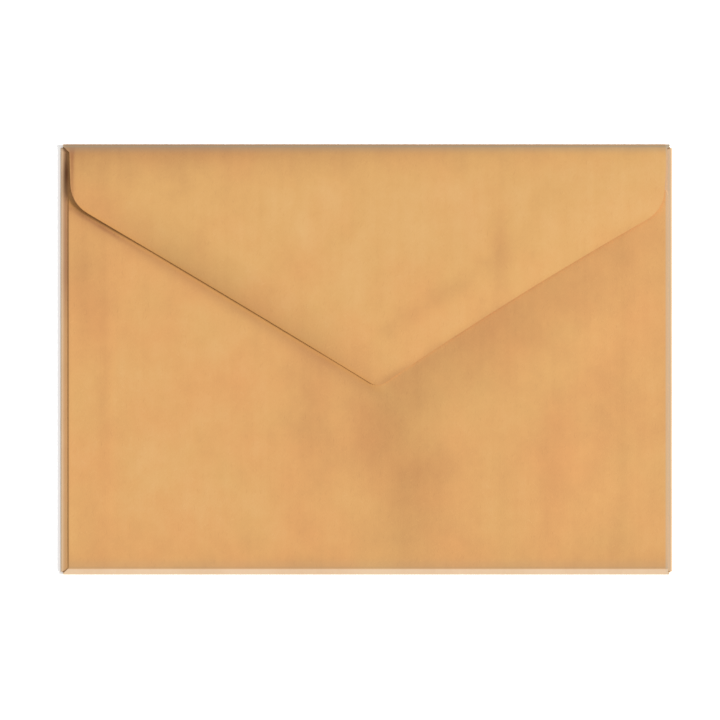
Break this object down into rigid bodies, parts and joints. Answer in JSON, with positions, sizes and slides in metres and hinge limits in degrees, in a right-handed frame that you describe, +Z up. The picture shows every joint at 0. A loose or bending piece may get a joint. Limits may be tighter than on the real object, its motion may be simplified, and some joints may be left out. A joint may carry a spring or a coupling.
{
  "type": "paper envelope",
  "caption": "Kraft paper envelope with a closed V-shaped seal flap, lying flap side up. Side seams, folded bottom and an empty flat pocket.",
  "frame": {"origin": "middle of the underside of the address panel", "axes": "+X along the long side, +Y towards the top fold that the seal flap hangs from, +Z up out of the flap side"},
  "size_m": [0.162, 0.114, 0.0025],
  "materials": {
    "kraft_paper": "matte uncoated kraft"
  },
  "bodies": {
    "root": {"envelope": "kraft_paper"}
  },
  "joints": []
}
